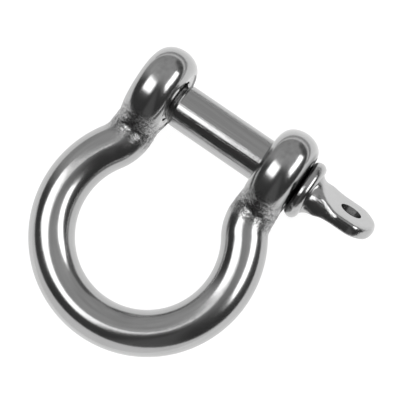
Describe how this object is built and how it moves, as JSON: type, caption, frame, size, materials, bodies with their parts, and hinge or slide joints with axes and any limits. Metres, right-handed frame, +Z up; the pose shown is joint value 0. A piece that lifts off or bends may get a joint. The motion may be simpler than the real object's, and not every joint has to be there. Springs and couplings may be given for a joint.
{
  "type": "bow shackle",
  "caption": "Stainless steel bow shackle: a round-bar bow with two bored eyes, closed by a screw pin with a collar and a flat eye tab.",
  "frame": {"origin": "centre of the bounding box's base, with the shackle lying flat on its two eyes and its crown", "axes": "+X along the pin towards its tab, +Y from the crown towards the pin, +Z up out of the bow's plane"},
  "size_m": [0.0656, 0.0638, 0.0209],
  "materials": {
    "polished_bow": "mirror-polished stainless steel, rough as cast below the eyes",
    "polished_pin": "turned and polished stainless steel, brushed along the shank"
  },
  "bodies": {
    "bow": {"shackle_bow": "polished_bow"},
    "pin": {"screw_pin": "polished_pin"}
  },
  "joints": [
    {"name": "pin_withdraw", "type": "slide", "parent": "bow", "child": "pin", "axis": [1, 0, 0], "range_m": [0, 0.045]}
  ]
}
